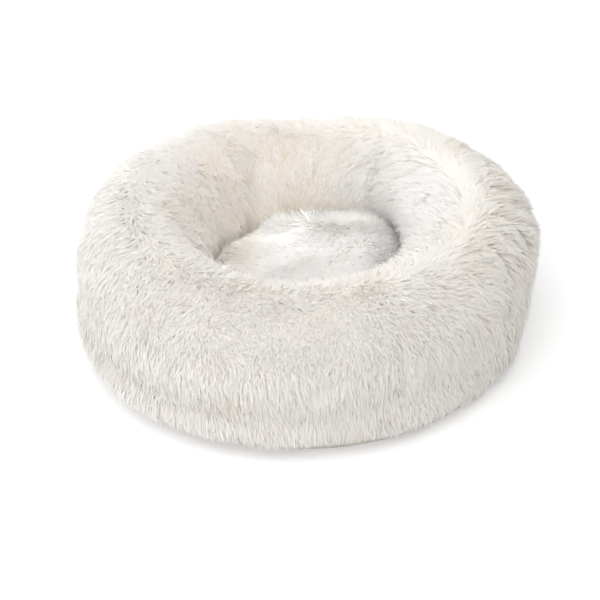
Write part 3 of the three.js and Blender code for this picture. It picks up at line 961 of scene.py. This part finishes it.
class StuffingSettings(bpy.types.PropertyGroup):
    voxel: length("Cloth grid", "Size of the cloth's grid while it is stuffed", 0.007)
    growth: length("Ease", "From the filling to the backing cloth at rest", 0.005)
    sag: length("Back sag", "How far the back rim sinks in its middle", 0.0095)
    open: length("Nest opening", "How far the nest's wall leans open at half its height", 0.009)
    shoulder: length("Shoulders", "How far the back rim stands up to both sides of its middle", 0.009)
    spread: length("Foot spread", "How far the wall spreads just over its hem", 0.006)
    puff: length("Puff", "The furthest the filling pushes the cloth out", 0.006)
    pressure: number("Pressure", "Push of the filling", 4.0)


class PileSettings(bpy.types.PropertyGroup):
    lock_width: length("Lock width", "Width of a lock at its widest", 0.0010)
    spacing: length("Tuft spacing", "Least distance between tufts", 0.0021)
    spread: length("Tuft spread", "Radius over which a tuft's locks stand", 0.0018)
    clump_size: length("Clump size", "Least distance between big clumps", 0.021)
    sink: length("Root depth", "How far the roots reach into the backing", 0.0012)
    locks_per_tuft: bpy.props.IntProperty(
        name="Locks per tuft", description="Locks that draw together", default=7, min=1
    )
    softness: number("Softness", "How far the pile is lit as one soft surface", 2.4)
    twist: number("Twist", "How far strands turn about their length", radians(32), subtype="ANGLE")
    roughness: number("Roughness", "Dullness of the fibre", 0.85)
    sheen: number("Sheen", "Soft light along the fibre's edge", 0.25)
    through: number("Translucency", "Share of light that passes through a strand", 0.35, subtype="FACTOR")


class StageSettings(bpy.types.PropertyGroup):
    distance: length("Camera distance", "From the camera to the bed", 1.443)
    elevation: number("Camera height", "Angle over the floor", radians(32.4), subtype="ANGLE")
    azimuth: number("Camera side", "Angle round the bed", radians(0.4), subtype="ANGLE")
    lens: number("Lens", "Focal length in millimetres", 66.9)
    slide: number("Sideways shift", "Sideways shift of the frame", -0.0048)
    drop: number("Upward shift", "Upward shift of the frame", -0.0830)
    key: number("Key light", "Power of the soft key light", 32.8, unit="POWER")
    nest: number("Nest light", "Power of the small light over the nest", 0.37, unit="POWER")
    fill: number("Fill light", "Strength of the room's light", 0.93)
    side: number("Shaded side", "How much darker the room is to the right", 0.44, subtype="FACTOR")
    behind: number("Shaded back", "How much darker the room is to the back", 0.15, subtype="FACTOR")
    glow: number("Floor glow", "How far the floor is lifted to white for the camera", 0.17)
    floor: bpy.props.FloatVectorProperty(
        name="Floor",
        description="Colour of the floor and backdrop",
        default=linear((240, 240, 240)),
        subtype="COLOR",
        min=0,
        max=1,
    )


def settings_of(context, name):
    return getattr(context.scene, "cat_bed_" + name)


# Operators


def sector_of(azimuth):
    """Which quarter between two upright seams an angle lies in."""
    return np.floor(((azimuth - SEAM_AZIMUTH) % tau) / QUARTER).astype(int)


def in_sector(azimuth, i):
    return sector_of(azimuth) == (i - 1) % 4


class CATBED_OT_ring(bpy.types.Operator):
    """Stuffs the ring, cuts its cover into wall and roll panels and lays their pile"""

    bl_idname = "catbed.ring"
    bl_label = "Ring Covers and Pile"

    def execute(self, context):
        skin = ring_skin(settings_of(context, "stuffing"))
        material = pile_finish(settings_of(context, "pile"))
        knit = cloth_finish("backing_knit", (244, 238, 226), (252, 249, 242), Finish.flat, 0.0011)

        def panels(tufts):
            mixed = tufts + drift(tufts, 300.0, 7) * SEAM_MIX
            radius, azimuth = polar(mixed)
            roll = (mixed[:, 2] > SEAM_HEIGHT) | (radius < CREST_RADIUS)
            for i, side in enumerate(SIDES):
                mine = in_sector(azimuth, i)
                yield f"roll_pile_{side}", mine & roll & (radius >= CREST_RADIUS)
                yield f"nest_pile_{side}", mine & (radius < CREST_RADIUS) & (tufts[:, 2] > NEST_HIDDEN)
                yield f"wall_pile_{side}", mine & ~roll & (tufts[:, 2] > HEM_HEIGHT)

        for locks in fur_on(context, skin, material, panels, 11, ring_lie, ring_comb):
            dress(locks, material, "bed", "outer_fur")
        turns = (SEAM_AZIMUTH, SEAM_AZIMUTH + QUARTER)
        cuts = [((0, 0, 0), (sin(turn), -cos(turn), 0)) for turn in turns]
        middles = bisect(skin, cuts + [((0, 0, SEAM_HEIGHT), (0, 0, 1))])
        radius, azimuth = polar(middles)
        roll = (middles[:, 2] > SEAM_HEIGHT) | (radius < CREST_RADIUS)
        for i, side in enumerate(SIDES):
            mine = in_sector(azimuth, i)
            for part, keep in (("roll", mine & roll), ("wall", mine & ~roll)):
                cover = cut_out(skin, f"{part}_cover_{side}", keep, RING_CLOTH)
                dress(cover, knit, "bed", "outer_fur", f"{part}_panel_{side}", fill=0.75)
        bpy.data.objects.remove(skin)
        return {"FINISHED"}


class CATBED_OT_filling(bpy.types.Operator):
    """Makes the ring's inner bag and the fibre that fills it"""

    bl_idname = "catbed.filling"
    bl_label = "Inner Bag and Fibre"

    def execute(self, context):
        lining = cloth_finish("lining_cloth", (232, 229, 222), (246, 244, 239), Finish.flat, 0.0014)
        shades = (238, 238, 236), (251, 251, 250)
        fibre = clouded("polyester_fibre", 90.0, 6.0, *shades, 0.002, Roughness=0.95, Sheen_Weight=0.3)
        for node, name, material, slot, shrink in (
            ("ring_liner", "inner_bag", lining, "liner_cloth", 0.0010),
            ("ring_filling", "fibre_filling", fibre, "fibre_fill", 0.0032),
        ):
            piece = copy_of("ring_filling", name, 0.010)
            shrunk = points_of(piece) - normals_of(piece) * shrink
            set_points(piece, slump(shrunk, settings_of(context, "stuffing")))
            smooth_over(piece)
            dress(piece, material, "bed", slot, node, fill=0.75)
        return {"FINISHED"}


class CATBED_OT_seat(bpy.types.Operator):
    """Stuffs the loose seat cushion and lays its pile"""

    bl_idname = "catbed.seat"
    bl_label = "Seat Cushion"

    def execute(self, context):
        skin = seat_skin(settings_of(context, "stuffing"))
        kinds = ("pile_fibre", "backing_knit", "lining_cloth", "polyester_fibre")
        pile, knit, lining, fibre = (bpy.data.materials[kind] for kind in kinds)

        def over_seam(tufts):
            return [("seat_pile", tufts[:, 2] > SEAT_SEAM - 0.002)]

        (locks,) = fur_on(context, skin, pile, over_seam, 41, seat_lie, seat_comb)
        dress(locks, pile, "seat_cushion", "seat_fur")
        top = bisect(skin, [((0, 0, SEAT_SEAM), (0, 0, 1))])[:, 2] > SEAT_SEAM
        for name, keep, node, slot, cloth in (
            ("seat_top_cover_cloth", top, "seat_top_cover", "seat_fur", knit),
            ("seat_under_cover_cloth", ~top, "seat_under_cover", "liner_cloth", lining),
        ):
            dress(cut_out(skin, name, keep, SEAT_CLOTH), cloth, "seat_cushion", slot, node, fill=0.75)
        bpy.data.objects.remove(skin)
        fluff = copy_of("seat_filling", "seat_fibre_filling", 0.008, 0)
        set_points(fluff, points_of(fluff) - normals_of(fluff) * 0.0025)
        dress(fluff, fibre, "seat_cushion", "fibre_fill", "seat_filling", fill=0.75)
        return {"FINISHED"}


def grip_finish():
    """The gripping underside: woven cloth with staggered rows of raised dots."""
    grip = Finish("gripping_cloth", Roughness=0.85, Sheen_Weight=0.1, Specular_IOR_Level=0.3)
    across, along = grip.flat()
    pitch = 0.0085
    row = along / (pitch * 0.866)
    one = ((across / pitch + row.floor() * 0.5) % 1.0) - 0.5
    other = (row % 1.0) - 0.5
    far = (one * one + other * other * 0.75) ** 0.5
    dot = 1 - far.between(0.17, 0.22)
    cloth = weave(across, along, 0.0009)
    worn = grip.noise(25.0, 4.0)
    # Darker where the weave is low: a painted shade in the gaps between threads
    woven = grip.ramp(cloth * 0.5 + worn * 0.5, (0.2, (196, 190, 180)), (0.8, (221, 216, 207)))
    grip.feed(Base_Color=grip.mix(dot, woven, linear((236, 234, 228))), Roughness=0.9 - dot * 0.35)
    grip.bump(cloth * 0.15 + dot, 0.0007)
    return grip.material


class CATBED_OT_base(bpy.types.Operator):
    """Makes the gripping underside, its pad, the nest floor and the sewn border"""

    bl_idname = "catbed.base"
    bl_label = "Base"

    def execute(self, context):
        panel = disc("base_cloth", *BASE_CLOTH, 0.0004, (0.004, 0.0008, 0.03))
        dress(panel, grip_finish(), "bed", "base_cloth", "base_panel")
        shades = (206, 203, 196), (228, 226, 220)
        felt = clouded("felt_pad", 420.0, 5.0, *shades, 0.0006, Roughness=0.95, Sheen_Weight=0.2)
        pad = disc("felt_base_pad", *BASE_PAD, 0.0015, (0.01, 0.03))
        dress(pad, felt, "bed", "base_felt", "base_pad", fill=0.95)
        seams = (0.006, 0.0008, 0.03, 0.0008, 0.03, 0.0008)
        floor = disc("nest_floor_cloth", *NEST_FLOOR, 0.0004, seams)
        dress(floor, bpy.data.materials["lining_cloth"], "bed", "liner_cloth", "nest_floor")
        tape = cloth_finish("border_cloth", (205, 199, 189), (226, 221, 212), Finish.around, 0.0009)
        border = rounded("base_border", "border_strip", 0.0003)
        dress(border, tape, "bed", "base_cloth", "base_border")
        shades = (214, 208, 197), (243, 240, 233)
        thread = ribbed("sewing_thread", tau / 5200, *shades, 0.0001, Roughness=0.6, Sheen_Weight=0.3)
        hem = stitch_rows("border_stitching", [(BORDER_RADIUS + 0.0004, 0.0020, 0.0, tau)], 0.0034)
        dress(hem, thread, "bed", "base_cloth")
        past = SEWN_PAST / BORDER_RADIUS
        run = (ZIP_START + past, ZIP_ARC - 2 * past)
        rows = [(SEWN_RADIUS, ZIP_HEIGHT + way * SEWN_OFF, *run) for way in (-1, 1)]
        dress(stitch_rows("zip_stitching", rows, 0.0030), thread, "bed", "zip_tape")
        return {"FINISHED"}


def zip_finishes():
    """The tapes' twill, the coils' nylon and the slider's brushed metal."""
    shades, fixed = ((214, 208, 198), (238, 234, 227)), {"Roughness": 0.8, "Specular_IOR_Level": 0.3}
    twill = ribbed("zip_tape_twill", 0.0010, *shades, 0.0002, Sheen_Weight=0.2, **fixed)
    nylon = Finish("coil_nylon", Specular_IOR_Level=0.5)
    cloud = nylon.noise(60.0, 3.0)
    pale = nylon.ramp(cloud, (0.2, (226, 221, 211)), (0.8, (242, 239, 232)))
    nylon.feed(Base_Color=pale, Roughness=0.36 + cloud * 0.12)
    metal = Finish("zip_metal", Metallic=1.0)
    brushed = metal.noise(900.0, 2.0)
    grey = metal.ramp(metal.noise(160.0, 4.0), (0.2, (176, 172, 165)), (0.8, (205, 202, 196)))
    metal.feed(Base_Color=grey, Roughness=0.26 + brushed * 0.16)
    metal.bump(brushed, 0.00003)
    return twill, nylon.material, metal.material


class CATBED_OT_zip(bpy.types.Operator):
    """Makes the zip: woven tapes, rows of coil teeth, stops, slider and pull tab"""

    bl_idname = "catbed.zip"
    bl_label = "Zip"

    def execute(self, context):
        twill, nylon, metal = zip_finishes()
        count = int(COIL_ARC * COIL_RADIUS / COIL_PITCH)
        for side, way in (("upper", 1), ("lower", -1)):
            tape = rounded(f"zip_tape_{side}", f"zip_tape_cloth_{side}", 0.00025)
            dress(tape, twill, "bed", "zip_tape", f"zip_tape_{side}")
            bpy.ops.mesh.primitive_torus_add(
                major_radius=0.00062, minor_radius=0.00021, major_segments=8, minor_segments=4
            )
            tooth = lay_along(context.object, (0.68, 1.0, 1.05), radians(12) * way)
            height = ZIP_HEIGHT + way * COIL_OFF
            turns = (COIL_START + COIL_ARC * (i + 0.25 + 0.25 * way) / count for i in range(count))
            places = [on_band(turn, COIL_RADIUS, height) for turn in turns]
            coil = repeated(f"zip_coil_teeth_{side}", tooth, places)
            dress(coil, nylon, "bed", "zip_coil", f"zip_coil_{side}")
        for node, name, body, width in (
            ("zip_stop_start", "start_stop", "bed", 0.0002),
            ("zip_stop_end", "end_stop", "bed", 0.0002),
            ("zip_slider", "slider_body", "slider", 0.00028),
            ("zip_pull_tab", "slider_pull", "pull_tab", 0.00032),
        ):
            dress(rounded(node, name, width, 3), metal, body, "zip_metal", node)
        return {"FINISHED"}


class CATBED_OT_label(bpy.types.Operator):
    """Makes the blank satin label sewn in at the back"""

    bl_idname = "catbed.label"
    bl_label = "Blank Label"

    def execute(self, context):
        satin = Finish("label_satin", Roughness=0.45, Sheen_Weight=0.2, Specular_IOR_Level=0.45)
        _, up = satin.around()
        thread = up.ripple(0.00035)
        worn = satin.noise(120.0, 3.0)
        # Darker between the threads: a painted shade in the grooves, with random unevenness
        pale = satin.ramp(thread * 0.4 + worn * 0.6, (0.2, (232, 229, 222)), (0.8, (248, 246, 241)))
        satin.feed(Base_Color=pale)
        satin.bump(thread, 0.00006)
        label = copy_of("blank_label", "blank_satin_label")
        with editing(label):
            bpy.ops.mesh.subdivide(number_cuts=5)
        points = points_of(label)
        outward = unit(points * [1, 1, 0])
        hang = np.clip((HEM_HEIGHT - points[:, 2]) / LABEL_HANG, 0, 1)
        along = polar(points)[1] * BORDER_RADIUS
        bow = np.sin((along - along.min()) / np.ptp(along) * pi)
        set_points(label, points + outward * (hang**2 * (LABEL_OFF + LABEL_BOW * bow))[:, None])
        round_edges(label, 0.00015)
        bpy.ops.object.shade_smooth_by_angle(angle=SMOOTH)
        dress(label, satin.material, "bed", "label_satin", "blank_label")
        return {"FINISHED"}


# The soft lamps: angles round the bed and over the floor, size, and share of the key power
LAMPS = (("front", -90, 60, 3.2, 1.0), ("front_left", -135, 45, 2.0, 0.21), ("left", 182, 12, 1.6, 0.22))
LAMP_DISTANCE = 3.2


def facing_way(turn, rise):
    """A unit vector from its angle round the bed and its angle over the floor."""
    return Vector((cos(turn) * cos(rise), sin(turn) * cos(rise), sin(rise)))


def aim_at(item, place, target):
    item.rotation_euler = (target - place).to_track_quat("-Z", "Y").to_euler()


def add_lamp(name, place, target, size, power):
    bpy.ops.object.light_add(type="AREA", location=place)
    lamp = bpy.context.object
    lamp.name = name + "_light"
    lamp.data.shape, lamp.data.size, lamp.data.energy = "DISK", size, power
    aim_at(lamp, place, target)
    return lamp


class CATBED_OT_stage(bpy.types.Operator):
    """Sets the pale floor, the soft lights and the camera"""

    bl_idname = "catbed.stage"
    bl_label = "Stage, Lights and Camera"

    def execute(self, context):
        stage = settings_of(context, "stage")
        self.lay_floor(stage)
        self.light_room(context, stage)
        bed = Vector((0, 0, 0.1))
        for name, turn, rise, size, share in LAMPS:
            place = facing_way(radians(turn), radians(rise)) * LAMP_DISTANCE + bed
            add_lamp(name, place, bed, size, stage.key * share)
        above, nest = Vector((0.32, -0.42, 1.45)), Vector((-0.03, 0.07, 0.1))
        add_lamp("nest", above, nest, 0.3, stage.nest).data.spread = radians(20)
        target = Vector((0, 0, 0.09))
        place = target + stage.distance * facing_way(stage.azimuth - pi / 2, stage.elevation)
        bpy.ops.object.camera_add(location=place)
        camera = context.object
        camera.name = "photograph_view"
        aim_at(camera, place, target)
        camera.data.lens, camera.data.sensor_width = stage.lens, 36
        camera.data.shift_x, camera.data.shift_y = stage.slide, stage.drop
        camera.data.clip_start, camera.data.clip_end = 0.05, 40
        context.scene.camera = camera
        context.scene.view_settings.view_transform = "Standard"
        return {"FINISHED"}

    def lay_floor(self, stage):
        bpy.ops.mesh.primitive_plane_add(size=12, location=(0, 2.0, 0))
        floor = bpy.context.object
        floor.name = "floor"
        bpy.ops.object.transform_apply(location=True)
        finish = Finish("floor_paper", Base_Color=tuple(stage.floor), Roughness=0.9, Specular_IOR_Level=0.0)
        seen = finish.node("ShaderNodeLightPath")
        finish.feed(Emission_Color=(1, 1, 1), Emission_Strength=seen * stage.glow)
        floor.data.materials.append(finish.material)

    def light_room(self, context, stage):
        """A white backdrop where it is seen, and a softer room, shaded to one side, as light."""
        world = context.scene.world = bpy.data.worlds.new("room")
        world.use_nodes = True
        tree = world.node_tree
        tree.nodes.clear()
        paths = tree.nodes.new("ShaderNodeLightPath").outputs
        kinds = ("Is Camera Ray", "Is Glossy Ray", "Is Transmission Ray")
        camera, glossy, passed = (Wire(tree, paths[kind]) for kind in kinds)
        seen = passed.math("MAXIMUM", passed, camera.math("MAXIMUM", camera, glossy))
        way = add_node(tree, "ShaderNodeTexCoord")
        room = (1 - way.axis("X") * stage.side - way.axis("Y") * stage.behind) * stage.fill
        strength = seen * (1 - room) + room
        sky = add_node(tree, "ShaderNodeBackground", Color=(1, 1, 1), Strength=strength)
        end = tree.nodes.new("ShaderNodeOutputWorld")
        tree.links.new(sky.socket, end.inputs["Surface"])


class CATBED_PT_panel(bpy.types.Panel):
    """Lists the bed's settings and the steps that make it"""

    bl_idname = "CATBED_PT_panel"
    bl_label = "Round Plush Cat Bed"
    bl_space_type = "VIEW_3D"
    bl_region_type = "UI"
    bl_category = "Cat Bed"

    def draw(self, context):
        for group in GROUPS:
            box = self.layout.box()
            for name in GROUPS[group].__annotations__:
                box.prop(settings_of(context, group), name)
        for operator in OPERATORS:
            self.layout.operator(operator.bl_idname)


GROUPS = {"stuffing": StuffingSettings, "pile": PileSettings, "stage": StageSettings}
OPERATORS = (
    CATBED_OT_stage,
    CATBED_OT_ring,
    CATBED_OT_filling,
    CATBED_OT_seat,
    CATBED_OT_base,
    CATBED_OT_zip,
    CATBED_OT_label,
)


def register():
    for kind in (*GROUPS.values(), *OPERATORS, CATBED_PT_panel):
        bpy.utils.register_class(kind)
    for name, group in GROUPS.items():
        setattr(bpy.types.Scene, "cat_bed_" + name, bpy.props.PointerProperty(type=group))


def unregister():
    for name in GROUPS:
        delattr(bpy.types.Scene, "cat_bed_" + name)
    for kind in (CATBED_PT_panel, *reversed(OPERATORS), *reversed(list(GROUPS.values()))):
        bpy.utils.unregister_class(kind)


def main():
    register()
    for operator in OPERATORS:
        space, name = operator.bl_idname.split(".")
        getattr(getattr(bpy.ops, space), name)()


if __name__ == "__main__":
    main()
